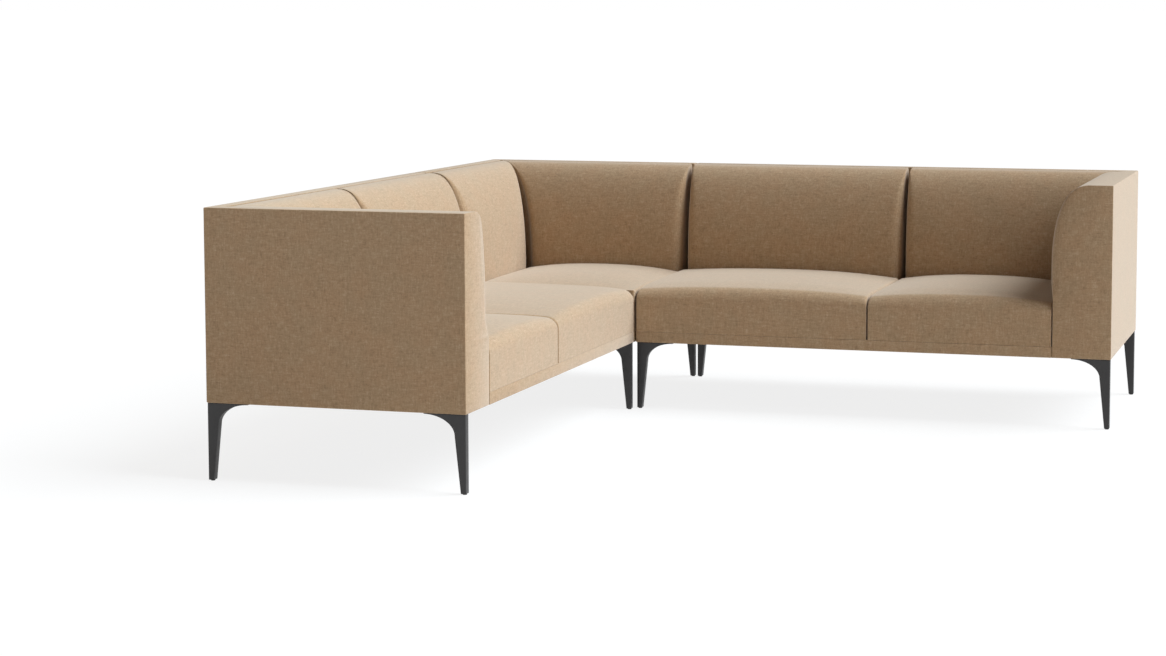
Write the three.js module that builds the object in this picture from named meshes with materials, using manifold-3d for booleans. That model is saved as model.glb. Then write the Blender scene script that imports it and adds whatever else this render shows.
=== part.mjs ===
// Corner sofa made of three units on metal legs: a left unit and a right unit, each with one arm and
// two seats, and a square corner unit between them. Millimetres, +Z up. The origin lies on the floor,
// under the middle of the square that the sofa fits in. The right wing runs along +X at the back,
// the left wing runs along -Y on the left.

import * as THREE from 'three';
import { mergeVertices } from 'three/addons/utils/BufferGeometryUtils.js';
import Module from 'manifold-3d';

const wasm = await Module();
wasm.setup();

// Overall sizes
const sofaHeight = 740;
const unitDepth = 745;
const unitLength = 1496;
const unitGap = 6;
const undersideHeight = 213;

// Clearances
const fitClearance = 0.3;
const seamClearance = 0.8;
const cutOverrun = 5;

// Arms: thickness from the outer face, by height
const armSeatThickness = 177;
const armThickness = 183;
const armFlatTop = 66;
const armShoulderDrop = 260;
const armSwellRise = 46;
const armShoulderPower = 2.2;
const armFrontRound = 36;

// Backs: a flat shell behind, and pads in front of it
const shellThickness = 40;
const shellWall = 9;
const backDepth = 197;
const backFlatTop = 60;
const backShoulderDrop = 356;
const backShoulderPower = 2.3;
const padRound = 30;
const padJointInset = 3;
const padSwell = 8;

// Seats
const railHeight = 33;
const railCoverThickness = 5;
const seatEdgeHeight = 384;
const seatCrown = 24;
const seatFrontRound = 34;
const seatBackRound = 14;
const seatSideRound = 14;
const seatFaceRound = 4;
const ventRadius = 14;
const ventPitch = 180;

// Boards inside the arms and backs
const armBoardThickness = 25;
const armBoardInset = 42;
const armBoardSideMargin = 60;
const armBoardRearMargin = 150;
const armBoardTopMargin = 75;
const backBoardEndMargin = 14;
const backBoardMitreMargin = 60;
const backBoardTopMargin = 14;

// Cloth that closes the underside
const clothThickness = 1;
const clothInset = 12;
const clothNotchMargin = 4;

// Legs and glides
const legInset = 2.5;
const legThickness = 22;
const legFootWidth = 15;
const legKneeWidth = 31;
const legKneeHeight = 155;
const legReach = 118;
const legTipThickness = 2;
const glideHeight = 2.5;
const glideRadius = 6;
const glideStemRadius = 2.5;
const glideStemLength = 12;

// Plates and bolts that join the units
const plateLength = 140;
const plateWidth = 40;
const plateThickness = 5;
const plateSetback = 150;
const boltSpacing = 96;
const boltRadius = 4;
const boltHeadRadius = 7.5;
const boltHeadHeight = 4.5;
const boltLength = 28;

// Counts
const shoulderSteps = 8;
const endSteps = 3;
const spanSteps = 6;
const legCurveSteps = 9;
const roundSides = 16;

// Power of the crown's curve along a pad
const crownPower = 2.4;

// Sizes that follow from the ones above
const wingLength = unitDepth + unitGap + unitLength;
const jointNear = unitDepth;
const jointFar = unitDepth + unitGap;
const unitMiddle = jointFar + unitLength / 2;
const railTop = undersideHeight + railHeight;
const boardTop = railTop - fitClearance;
const seatBase = railTop;
const padBack = shellThickness + fitClearance;
const seatBack = backDepth + padSwell + seamClearance;
const seatEnd = wingLength - armSeatThickness - seamClearance;

// Materials, one for each sub-part
function fabric() {
  return new THREE.MeshStandardMaterial({ color: 0xb89a74, roughness: 0.95, metalness: 0 });
}

function plywood() {
  return new THREE.MeshStandardMaterial({ color: 0xc9a877, roughness: 0.7, metalness: 0 });
}

function blackCloth() {
  return new THREE.MeshStandardMaterial({ color: 0x232323, roughness: 0.95, metalness: 0 });
}

function blackPaint() {
  return new THREE.MeshStandardMaterial({ color: 0x2b2a2b, roughness: 0.45, metalness: 0.3 });
}

function nylon() {
  return new THREE.MeshStandardMaterial({ color: 0x1c1c1c, roughness: 0.6, metalness: 0 });
}

function zincSteel() {
  return new THREE.MeshStandardMaterial({ color: 0x9a9c9e, roughness: 0.4, metalness: 0.9 });
}

// A closed geometry with its faces turned outwards
function facingOut(geometry) {
  const bare = geometry.clone();
  bare.deleteAttribute('normal');
  bare.deleteAttribute('uv');
  const merged = mergeVertices(bare);
  const place = merged.attributes.position;
  const index = merged.index.array;
  const [a, b, c] = [new THREE.Vector3(), new THREE.Vector3(), new THREE.Vector3()];
  let volume = 0;
  for (let i = 0; i < index.length; i += 3) {
    a.fromBufferAttribute(place, index[i]);
    b.fromBufferAttribute(place, index[i + 1]);
    c.fromBufferAttribute(place, index[i + 2]);
    volume += a.dot(b.cross(c));
  }
  if (volume < 0) {
    for (let i = 0; i < index.length; i += 3) {
      [index[i + 1], index[i + 2]] = [index[i + 2], index[i + 1]];
    }
  }
  merged.computeVertexNormals();
  return merged;
}

function toSolid(geometry) {
  const closed = facingOut(geometry);
  return new wasm.Manifold(new wasm.Mesh({
    numProp: 3,
    vertProperties: Float32Array.from(closed.attributes.position.array),
    triVerts: Uint32Array.from(closed.index.array),
  }));
}

function toGeometry(solid) {
  const mesh = solid.getMesh();
  const geometry = new THREE.BufferGeometry();
  geometry.setAttribute('position', new THREE.BufferAttribute(Float32Array.from(mesh.vertProperties), 3));
  geometry.setIndex(new THREE.BufferAttribute(Uint32Array.from(mesh.triVerts), 1));
  return facingOut(geometry);
}

function cutFrom(geometry, ...cutters) {
  let solid = toSolid(geometry);
  for (const cutter of cutters) {
    solid = solid.subtract(toSolid(cutter));
  }
  return toGeometry(solid);
}

// A box between two corners
function block(low, high) {
  const size = high.map((value, i) => value - low[i]);
  const middle = high.map((value, i) => (value + low[i]) / 2);
  return new THREE.BoxGeometry(...size).translate(...middle);
}

// A flat outline in plan, raised between two heights, with round holes right through it
function raised(points, low, high, holes = []) {
  const shape = new THREE.Shape(points.map(([x, y]) => new THREE.Vector2(x, y)));
  const sheet = new THREE.ExtrudeGeometry(shape, { depth: high - low, bevelEnabled: false });
  sheet.translate(0, 0, low);
  const drills = holes.map(({ x, y, radius }) => {
    const drill = new THREE.CylinderGeometry(radius, radius, high - low + 2 * cutOverrun, roundSides);
    return drill.rotateX(Math.PI / 2).translate(x, y, (low + high) / 2);
  });
  return cutFrom(sheet, ...drills);
}

// The right wing's pieces are built in place and the left wing's are their mirror images across the
// sofa's diagonal.
const diagonalMirror = new THREE.Matrix4().set(0, -1, 0, 0, -1, 0, 0, 0, 0, 0, 1, 0, 0, 0, 0, 1);

function mirrored(geometry) {
  return facingOut(geometry.clone().applyMatrix4(diagonalMirror));
}

// How far a padded edge is drawn in, at a distance from the pad's end
function drawnIn(radius, distance) {
  if (distance >= radius) {
    return 0;
  }
  const rest = radius - distance;
  return radius - Math.sqrt(radius * radius - rest * rest);
}

// The points of a rounded shoulder: from the end of the flat top, out and down to the full thickness.
// Each section point has its distance across, its height, the direction that faces out there, how
// round its ends are and how far it swells in the middle of the pad.
function shoulder({ flat, full, drop, power, round, swell }) {
  const points = [];
  for (let i = 0; i <= shoulderSteps; i++) {
    const angle = (i / shoulderSteps) * Math.PI / 2;
    const across = Math.sin(angle) ** (2 / power);
    const up = Math.cos(angle) ** (2 / power);
    const out = new THREE.Vector2(
      across ** (power - 1) / (full - flat),
      up ** (power - 1) / drop,
    ).normalize();
    points.push({
      across: flat + (full - flat) * across,
      height: sofaHeight - drop + drop * up,
      out,
      round: round(out),
      swell: swell * Math.sin(angle) ** 2,
    });
  }
  return points;
}

// A pad lofted along its length from ring to ring. The ends can be mitred, because each point of the
// section has its own start and end, and the skin is drawn in near them.
function loft({ start, end, section, startRound, endRound, place }) {
  const reach = Math.max(...section.map((point) => point.round));
  const stations = [];
  const startSteps = startRound ? endSteps : 0;
  const finishSteps = endRound ? endSteps : 0;
  for (let i = 0; i < startSteps; i++) {
    const angle = (i / endSteps) * Math.PI / 2;
    stations.push((from) => from + reach * (1 - Math.cos(angle)));
  }
  for (let i = 0; i <= spanSteps; i++) {
    const share = i / spanSteps;
    const before = startRound ? reach : 0;
    const after = endRound ? reach : 0;
    stations.push((from, to) => from + before + (to - after - from - before) * share);
  }
  for (let i = finishSteps - 1; i >= 0; i--) {
    const angle = (i / endSteps) * Math.PI / 2;
    stations.push((from, to) => to - reach * (1 - Math.cos(angle)));
  }

  const positions = [];
  for (const station of stations) {
    for (const point of section) {
      const from = start(point.across);
      const to = end(point.across);
      const along = station(from, to);
      const nearStart = startRound ? drawnIn(point.round, along - from) : 0;
      const nearEnd = endRound ? drawnIn(point.round, to - along) : 0;
      const middleShare = 1 - Math.abs(2 * (along - from) / (to - from) - 1) ** crownPower;
      const push = point.swell * middleShare - nearStart - nearEnd;
      const across = point.across + point.out.x * push;
      const height = point.height + point.out.y * push;
      positions.push(...place(along, across, height));
    }
  }

  const count = section.length;
  const faces = [];
  for (let ring = 0; ring + 1 < stations.length; ring++) {
    for (let i = 0; i < count; i++) {
      const next = (i + 1) % count;
      const [a, b] = [ring * count + i, ring * count + next];
      faces.push(a, b, b + count, a, b + count, a + count);
    }
  }
  const last = (stations.length - 1) * count;
  for (let i = 1; i + 1 < count; i++) {
    faces.push(0, i + 1, i, last, last + i, last + i + 1);
  }
  const geometry = new THREE.BufferGeometry();
  geometry.setAttribute('position', new THREE.Float32BufferAttribute(positions, 3));
  geometry.setIndex(faces);
  return facingOut(geometry);
}

// A section point that keeps its place or is drawn in along one direction
function sectionPoint(across, height, round = 0, outAcross = 1, outUp = 0, swell = 0) {
  return { across, height, round, swell, out: new THREE.Vector2(outAcross, outUp) };
}

// Distances across the right wing are depths from the sofa's back, so they run along -Y.
const acrossIsDepth = (along, across, height) => [along, -across, height];

// Distances across an arm are measured from its outer face, and along it from the sofa's back.
const acrossIsArm = (along, across, height) => [wingLength - across, -along, height];

// Back pad: flat behind, with a shoulder that runs from the flat top down to the seat
function backPad(start, end) {
  const section = [
    sectionPoint(padBack, seatBase + fitClearance),
    sectionPoint(padBack, sofaHeight),
    ...shoulder({
      flat: backFlatTop,
      full: backDepth,
      drop: backShoulderDrop,
      power: backShoulderPower,
      round: (out) => padRound * out.x,
      swell: padSwell,
    }),
    sectionPoint(backDepth, seatBase + fitClearance, padRound),
  ];
  return loft({ start, end, section, startRound: true, endRound: true, place: acrossIsDepth });
}

// Seat pad: rounded over at the front, crowned in the middle and drawn down into its side seams
const crownDepthShares = [0.6, 0.9, 1, 1, 0.9];

function seatPad({ start, end, frontRound, front = unitDepth }) {
  const frontArc = [];
  for (let i = 0; i <= endSteps; i++) {
    const angle = (i / endSteps) * Math.PI / 2;
    const out = [Math.cos(angle), Math.sin(angle)];
    frontArc.push(sectionPoint(
      front - frontRound * (1 - out[0]),
      seatEdgeHeight - frontRound * (1 - out[1]),
      seatFaceRound + (seatSideRound - seatFaceRound) * out[1],
      out[0],
      out[1],
      seatCrown * crownDepthShares[0] * out[1],
    ));
  }
  const topFront = front - frontRound;
  const topBack = seatBack + seatBackRound;
  const top = crownDepthShares.slice(1).map((share, i) => sectionPoint(
    topFront + (topBack - topFront) * (i + 1) / (crownDepthShares.length - 1),
    seatEdgeHeight,
    seatSideRound,
    0,
    1,
    seatCrown * share,
  ));
  const section = [
    sectionPoint(seatBack, seatBase + fitClearance, seatFaceRound, -1),
    sectionPoint(front, seatBase + fitClearance, seatFaceRound),
    ...frontArc,
    ...top,
    sectionPoint(
      seatBack,
      seatEdgeHeight - seatBackRound,
      seatSideRound,
      0,
      1,
      seatCrown * crownDepthShares.at(-1),
    ),
  ];
  return loft({ start, end, section, startRound: true, endRound: true, place: acrossIsDepth });
}

// Arm: one upholstered form with a slot from below for its board
function arm() {
  const section = [
    sectionPoint(0, undersideHeight),
    sectionPoint(0, sofaHeight),
    ...shoulder({
      flat: armFlatTop,
      full: armThickness,
      drop: armShoulderDrop,
      power: armShoulderPower,
      round: (out) => armFrontRound * out.x,
      swell: 0,
    }),
    sectionPoint(armThickness, seatEdgeHeight + armSwellRise, armFrontRound),
    sectionPoint(armSeatThickness, seatEdgeHeight, seatFaceRound),
    sectionPoint(armSeatThickness, undersideHeight, seatFaceRound),
  ];
  const form = loft({
    start: (across) => across + seamClearance,
    end: () => unitDepth,
    section,
    startRound: false,
    endRound: true,
    place: acrossIsArm,
  });
  return cutFrom(form, armBoardSpace(fitClearance, cutOverrun));
}

// The space of the arm's board, grown on its sides and top, and run out below
function armBoardSpace(grow, below) {
  const outer = wingLength - armBoardInset;
  return block(
    [outer - armBoardThickness - grow, armBoardSideMargin - unitDepth - grow, undersideHeight - below],
    [outer + grow, -armBoardRearMargin + grow, sofaHeight - armBoardTopMargin + grow],
  );
}

// Back shell: an upholstered slab with a mitre at one end and a slot from below for its board.
// mitreAt gives the distance along the wing where the mitred end lies, at a depth.
function backShell({ square, mitreAt, board }) {
  const outline = [
    [square, 0],
    [mitreAt(0), 0],
    [mitreAt(shellThickness), -shellThickness],
    [square, -shellThickness],
  ];
  const slab = raised(outline, undersideHeight, sofaHeight);
  return cutFrom(slab, backBoardSpace(board, fitClearance, cutOverrun));
}

function backBoardSpace({ from, to }, grow, below) {
  return block(
    [from - grow, shellWall - shellThickness - grow, undersideHeight - below],
    [to + grow, -shellWall + grow, sofaHeight - backBoardTopMargin + grow],
  );
}

// Base board: carries the seats, with rows of air holes and the holes for the joining bolts
function baseBoard({ from, to, near, far, boltHoles }) {
  const outline = [[from, -near], [to, -near], [to, -far], [from, -far]];
  const holes = [...boltHoles];
  const [columns, rows] = [Math.floor((to - from) / ventPitch) - 1, Math.floor((far - near) / ventPitch) - 1];
  const [middleX, middleY] = [(from + to) / 2, -(near + far) / 2];
  for (let i = 0; i < columns; i++) {
    for (let j = 0; j < rows; j++) {
      holes.push({
        x: middleX + (i - (columns - 1) / 2) * ventPitch,
        y: middleY + (j - (rows - 1) / 2) * ventPitch,
        radius: ventRadius,
      });
    }
  }
  return raised(outline, undersideHeight, boardTop, holes);
}

// Bottom cloth: a sheet with a notch at each corner that has a leg, and holes for the bolts
function bottomCloth({ west, east, south, north, legCorners, boltHoles }) {
  const [notchX, notchY] = [
    legInset + legReach + clothNotchMargin,
    legInset + legThickness + clothNotchMargin,
  ];
  const corners = [
    { name: 'southwest', x: west, y: south, towards: [1, 1] },
    { name: 'southeast', x: east, y: south, towards: [-1, 1] },
    { name: 'northeast', x: east, y: north, towards: [-1, -1] },
    { name: 'northwest', x: west, y: north, towards: [1, -1] },
  ];
  const outline = [];
  for (const { name, x, y, towards } of corners) {
    const edge = [x + towards[0] * clothInset, y + towards[1] * clothInset];
    if (!legCorners.includes(name)) {
      outline.push(edge);
      continue;
    }
    const inner = [x + towards[0] * notchX, y + towards[1] * notchY];
    const notch = [[edge[0], inner[1]], inner, [inner[0], edge[1]]];
    const turnsFirstAlongX = towards[0] * towards[1] < 0;
    outline.push(...(turnsFirstAlongX ? notch.reverse() : notch));
  }
  const top = undersideHeight - fitClearance;
  return raised(outline, top - clothThickness, top, boltHoles);
}

// Leg: straight outer edge, tapering foot, and a flare that curves out under the frame.
// It stands at its outer edge and flares towards +X.
function leg() {
  const top = undersideHeight - fitClearance;
  const foot = glideHeight + fitClearance;
  const outline = [[0, foot], [legFootWidth, foot]];
  const [reach, rise] = [legReach - legKneeWidth, top - legTipThickness - legKneeHeight];
  for (let i = 0; i <= legCurveSteps; i++) {
    const angle = (i / legCurveSteps) * Math.PI / 2;
    outline.push([legReach - reach * Math.cos(angle), legKneeHeight + rise * Math.sin(angle)]);
  }
  outline.push([legReach, top], [0, top]);
  const shape = new THREE.Shape(outline.map(([x, z]) => new THREE.Vector2(x, z)));
  const form = new THREE.ExtrudeGeometry(shape, { depth: legThickness, bevelEnabled: false });
  form.rotateX(Math.PI / 2).translate(0, legThickness / 2, 0);
  const bore = new THREE.CylinderGeometry(
    glideStemRadius + fitClearance,
    glideStemRadius + fitClearance,
    2 * (glideStemLength + fitClearance),
    roundSides,
  );
  bore.rotateX(Math.PI / 2).translate(legFootWidth / 2, 0, foot);
  return cutFrom(form, bore);
}

function glide() {
  const profile = [
    [0, 0],
    [glideRadius, 0],
    [glideRadius, glideHeight],
    [glideStemRadius, glideHeight],
    [glideStemRadius, glideHeight + glideStemLength],
    [0, glideHeight + glideStemLength],
  ];
  const points = profile.map(([radius, height]) => new THREE.Vector2(radius, height));
  return facingOut(new THREE.LatheGeometry(points, roundSides).rotateX(Math.PI / 2));
}

// Bolt, head down, with its head's lower face at zero height
function linkBolt() {
  const profile = [
    [0, 0],
    [boltHeadRadius, 0],
    [boltHeadRadius, boltHeadHeight],
    [boltRadius, boltHeadHeight],
    [boltRadius, boltHeadHeight + boltLength],
    [0, boltHeadHeight + boltLength],
  ];
  const points = profile.map(([radius, height]) => new THREE.Vector2(radius, height));
  return facingOut(new THREE.LatheGeometry(points, roundSides).rotateX(Math.PI / 2));
}

// The link plate lies across the joint, in the right wing's place
const linkPlace = { x: (jointNear + jointFar) / 2, y: plateSetback - unitDepth };
const boltPlaces = {
  corner: { x: linkPlace.x - boltSpacing / 2, y: linkPlace.y },
  unit: { x: linkPlace.x + boltSpacing / 2, y: linkPlace.y },
};
const plateTop = undersideHeight - fitClearance - clothThickness - fitClearance;

function boltHole({ x, y }) {
  return { x, y, radius: boltRadius + fitClearance };
}

// The same place on the left wing
function twinPlace({ x, y }) {
  return { x: -y, y: -x };
}

function linkPlate() {
  const [halfLength, halfWidth] = [plateLength / 2, plateWidth / 2];
  const outline = [[-1, -1], [1, -1], [1, 1], [-1, 1]].map(([i, j]) => [
    linkPlace.x + i * halfLength,
    linkPlace.y + j * halfWidth,
  ]);
  return raised(outline, plateTop - plateThickness, plateTop, Object.values(boltPlaces).map(boltHole));
}

// Assembly
const sofa = new THREE.Group();
sofa.position.set(-wingLength / 2, wingLength / 2, 0);

function add(name, geometry, material, place = [0, 0, 0], turn = 0) {
  const mesh = new THREE.Mesh(facingOut(geometry), material);
  mesh.name = name;
  mesh.position.set(...place);
  mesh.rotation.z = turn;
  sofa.add(mesh);
}

// Adds a piece of the right wing and its mirror image in the left wing
function addPair(name, geometry, material) {
  add(`right_unit_${name}`, geometry, material());
  add(`left_unit_${name}`, mirrored(geometry), material());
}

// Right and left units
const armMitre = (depth) => wingLength - depth;
const unitShellBoard = { from: jointFar + backBoardEndMargin, to: wingLength - backBoardMitreMargin };
const halfSeam = seamClearance / 2;
const padArmEnd = (depth) => wingLength - Math.min(depth, armThickness) - seamClearance;

addPair('arm', arm(), fabric);
addPair('arm_board', armBoardSpace(0, -fitClearance), plywood);
addPair('back_shell', backShell({
  square: jointFar,
  mitreAt: (depth) => armMitre(depth) - seamClearance,
  board: unitShellBoard,
}), fabric);
addPair('back_board', backBoardSpace(unitShellBoard, 0, -fitClearance), plywood);
addPair('back_pad_wide', backPad(() => jointFar + padJointInset, () => unitMiddle - halfSeam), fabric);
addPair('back_pad_narrow', backPad(() => unitMiddle + halfSeam, padArmEnd), fabric);
addPair('seat_wide', seatPad({
  start: () => jointFar,
  end: () => unitMiddle - halfSeam,
  frontRound: seatFrontRound,
}), fabric);
addPair('seat_narrow', seatPad({
  start: () => unitMiddle + halfSeam,
  end: () => seatEnd,
  frontRound: seatFrontRound,
}), fabric);
addPair('front_rail_cover', block(
  [jointFar, -unitDepth, undersideHeight],
  [wingLength - armSeatThickness - fitClearance, railCoverThickness - unitDepth, railTop],
), fabric);
addPair('base_board', baseBoard({
  from: jointFar,
  to: wingLength - armSeatThickness - fitClearance,
  near: shellThickness + fitClearance,
  far: unitDepth - railCoverThickness - fitClearance,
  boltHoles: [boltHole(boltPlaces.unit)],
}), plywood);
addPair('link_plate', linkPlate(), zincSteel);

// Corner unit
const cornerMitre = (depth) => depth + halfSeam;
const cornerShellBoard = { from: backBoardMitreMargin, to: unitDepth - backBoardEndMargin };
const cornerShell = backShell({ square: unitDepth, mitreAt: cornerMitre, board: cornerShellBoard });
const cornerPad = backPad(cornerMitre, () => unitDepth - padJointInset);

add('corner_unit_back_shell_right', cornerShell, fabric());
add('corner_unit_back_shell_left', mirrored(cornerShell), fabric());
add('corner_unit_back_board_right', backBoardSpace(cornerShellBoard, 0, -fitClearance), plywood());
add('corner_unit_back_board_left', mirrored(backBoardSpace(cornerShellBoard, 0, -fitClearance)), plywood());
add('corner_unit_back_pad_right', cornerPad, fabric());
add('corner_unit_back_pad_left', mirrored(cornerPad), fabric());
add('corner_unit_seat', seatPad({
  start: () => seatBack,
  end: () => unitDepth,
  frontRound: seatSideRound,
}), fabric());
add('corner_unit_base_board', baseBoard({
  from: shellThickness + fitClearance,
  to: unitDepth,
  near: shellThickness + fitClearance,
  far: unitDepth,
  boltHoles: [boltHole(boltPlaces.corner), boltHole(twinPlace(boltPlaces.corner))],
}), plywood());

// Bottom cloths
add('right_unit_bottom_cloth', bottomCloth({
  west: jointFar,
  east: wingLength,
  south: -unitDepth,
  north: 0,
  legCorners: ['southwest', 'southeast', 'northeast', 'northwest'],
  boltHoles: [boltHole(boltPlaces.unit)],
}), blackCloth());
add('left_unit_bottom_cloth', bottomCloth({
  west: 0,
  east: unitDepth,
  south: -wingLength,
  north: -jointFar,
  legCorners: ['southwest', 'southeast', 'northeast', 'northwest'],
  boltHoles: [boltHole(twinPlace(boltPlaces.unit))],
}), blackCloth());
add('corner_unit_bottom_cloth', bottomCloth({
  west: 0,
  east: unitDepth,
  south: -unitDepth,
  north: 0,
  legCorners: ['southwest', 'northeast', 'northwest'],
  boltHoles: [boltHole(boltPlaces.corner), boltHole(twinPlace(boltPlaces.corner))],
}), blackCloth());

// Bolts of the link plates
const boltHeadBase = plateTop - plateThickness - fitClearance - boltHeadHeight;
for (const [unit, { x, y }] of Object.entries(boltPlaces)) {
  const twin = twinPlace({ x, y });
  add(`right_link_bolt_${unit}`, linkBolt(), zincSteel(), [x, y, boltHeadBase]);
  add(`left_link_bolt_${unit}`, linkBolt(), zincSteel(), [twin.x, twin.y, boltHeadBase]);
}

// Legs: the unit's corner over each one (x, y), the side of that corner's edge on which the leg stands
// (1 towards +Y, -1 towards -Y), and the way that it flares (1 towards +X, -1 towards -X)
const legPlaces = {
  right_unit_arm_front: [wingLength, -unitDepth, 1, -1],
  right_unit_arm_rear: [wingLength, 0, -1, -1],
  right_unit_joint_front: [jointFar, -unitDepth, 1, 1],
  right_unit_joint_rear: [jointFar, 0, -1, 1],
  left_unit_arm_front: [unitDepth, -wingLength, 1, -1],
  left_unit_arm_rear: [0, -wingLength, 1, 1],
  left_unit_joint_front: [unitDepth, -jointFar, -1, -1],
  left_unit_joint_rear: [0, -jointFar, -1, 1],
  corner_unit_middle: [0, 0, -1, 1],
  corner_unit_left: [0, -unitDepth, 1, 1],
  corner_unit_right: [unitDepth, 0, -1, -1],
};
const legForm = leg();
const glideForm = glide();

for (const [name, [x, y, inward, flare]] of Object.entries(legPlaces)) {
  const turn = flare > 0 ? 0 : Math.PI;
  const [legX, legY] = [x + flare * legInset, y + inward * (legInset + legThickness / 2)];
  add(`${name}_leg`, legForm, blackPaint(), [legX, legY, 0], turn);
  add(`${name}_glide`, glideForm, nylon(), [legX + flare * legFootWidth / 2, legY, 0]);
}

export default sofa;
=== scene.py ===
"""Corner sofa: padded seats and backs, covered arms and shells, and painted metal legs, built
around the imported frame. Metres, +Z up. The right wing runs along +X at the back, and the left wing
along -Y."""

from math import ceil, cos, pi, radians, sin, sqrt

import bmesh
import bpy
from mathutils import Matrix, Vector


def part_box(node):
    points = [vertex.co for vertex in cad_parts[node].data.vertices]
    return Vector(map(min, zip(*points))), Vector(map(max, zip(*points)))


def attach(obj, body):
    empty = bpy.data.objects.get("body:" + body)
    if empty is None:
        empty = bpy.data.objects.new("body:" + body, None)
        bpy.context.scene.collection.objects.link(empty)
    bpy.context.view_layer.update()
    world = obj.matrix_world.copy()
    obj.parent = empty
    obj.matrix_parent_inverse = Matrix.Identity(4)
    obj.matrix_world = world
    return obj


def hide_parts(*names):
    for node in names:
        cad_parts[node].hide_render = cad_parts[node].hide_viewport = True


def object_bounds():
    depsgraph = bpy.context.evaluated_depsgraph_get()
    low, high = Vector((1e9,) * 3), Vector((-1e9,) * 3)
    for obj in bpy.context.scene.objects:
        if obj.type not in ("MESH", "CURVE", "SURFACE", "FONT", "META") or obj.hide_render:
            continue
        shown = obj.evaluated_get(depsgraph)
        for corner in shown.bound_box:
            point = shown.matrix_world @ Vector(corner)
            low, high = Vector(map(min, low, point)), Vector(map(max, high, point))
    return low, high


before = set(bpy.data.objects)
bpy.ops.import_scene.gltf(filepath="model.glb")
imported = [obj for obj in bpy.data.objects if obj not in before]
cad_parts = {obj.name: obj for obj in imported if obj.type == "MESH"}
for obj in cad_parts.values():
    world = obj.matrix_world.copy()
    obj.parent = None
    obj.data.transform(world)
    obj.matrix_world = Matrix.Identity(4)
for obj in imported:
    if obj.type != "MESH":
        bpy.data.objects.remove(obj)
CAD_LOW, CAD_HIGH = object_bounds()

bl_info = {
    "name": "Corner Sofa",
    "version": (1, 0, 0),
    "blender": (4, 5, 0),
    "location": "View3D > Sidebar > Sofa",
    "description": "Builds an upholstered corner sofa around its packed frame",
    "category": "Add Mesh",
}

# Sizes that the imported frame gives
HALF_WIDTH = CAD_HIGH.x
SOFA_TOP = CAD_HIGH.z
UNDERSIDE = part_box("right_unit_arm")[0].z
UNIT_DEPTH = HALF_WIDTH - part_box("right_unit_front_rail_cover")[0].y
PAD_BACK = HALF_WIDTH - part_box("right_unit_back_pad_wide")[1].y
PAD_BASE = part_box("right_unit_back_pad_wide")[0].z
SEAT_BACK = HALF_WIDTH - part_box("right_unit_seat_wide")[1].y
SEAT_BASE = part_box("right_unit_seat_wide")[0].z
ARM_MITRE_GAP = HALF_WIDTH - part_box("right_unit_arm")[1].y
SHELL_THICKNESS = HALF_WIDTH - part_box("right_unit_back_shell")[0].y
MITRE_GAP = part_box("corner_unit_back_pad_right")[0].x + HALF_WIDTH - PAD_BACK

# An arm's cover is this much fuller inside than the frame's arm.
ARM_FULLNESS = 0.005
ARM_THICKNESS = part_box("right_unit_arm")[1].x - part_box("right_unit_arm")[0].x + ARM_FULLNESS

# The wings mirror each other across the sofa's diagonal.
DIAGONAL_MIRROR = Matrix(((0, -1, 0, 0), (-1, 0, 0, 0), (0, 0, 1, 0), (0, 0, 0, 1)))

# Simulation of the padded pieces, and how much of their swell is modelled before it
SIMULATED_FRAMES = 20
PAD_PRESSURE = 4.0
SMOOTHING_STEPS = 24
PAD_MODELLED_SHARE = 0.5
SEAT_MODELLED_SHARE = 0.85

# Camera and light, as in the photograph. The sensor and the lens are in millimetres.
CAMERA_PLACE = (1.9375, -7.1956, 1.2692)
CAMERA_TURN = 0.2814
CAMERA_TILT = 0.0899
CAMERA_SENSOR = 36
CAMERA_LENS = 77.48
CAMERA_SHIFT = (-0.0768, -0.08)
CAMERA_REACH = 4000
FILL_STRENGTH = 0.12
FILL_COLOUR = (1.0, 0.77, 0.58)
KEY_TOWARDS = (-0.66, -0.15, -0.735)
KEY_STRENGTH = 4.15
KEY_SPREAD = 45
KEY_COLOUR = (0.88, 0.95, 1.0)
OVERHEAD_PLACE = (-0.78, -1.05, 2.3)
OVERHEAD_STRENGTH = 6.5
OVERHEAD_SIZE = 0.7
OVERHEAD_COLOUR = (0.65, 0.86, 1.0)
FLOOR_SIZE = 3000
FLOOR_BOUNCE = (0.83, 0.785, 0.75)
FLOOR_GLOW = 0.825
FLOOR_GLOW_STRENGTH = 1.02

# Points nearer than a hair are in the same place.
HAIR = 0.00001

# Seats: the shares of the crown that their front edges have, and the distances over which their
# tops fall to the front edge and rise to the corner unit
FRONT_CROWN = 0.6
CORNER_FRONT_CROWN = 0.1
FALL_RUN = 0.14
CORNER_FALL_RUN = 0.26
JOINT_RUN = 0.30

# A seat is cut this close to its front and base, to keep them crisp, and stands this far from an arm
FOLD = 0.0015
ARM_SEAM = 0.003

# Edges of the bands, legs and glides
BAND_EDGE = 0.0008
LEG_EDGE = 0.0011
GLIDE_EDGE = 0.0005


def length_property(name, default, description):
    return bpy.props.FloatProperty(name=name, default=default, description=description, unit="LENGTH")


def power_property(name, default, description):
    return bpy.props.FloatProperty(name=name, default=default, description=description, min=2, max=4)


def colour_property(name, default, description):
    return bpy.props.FloatVectorProperty(
        name=name, default=default, description=description, subtype="COLOR", size=3)


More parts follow.
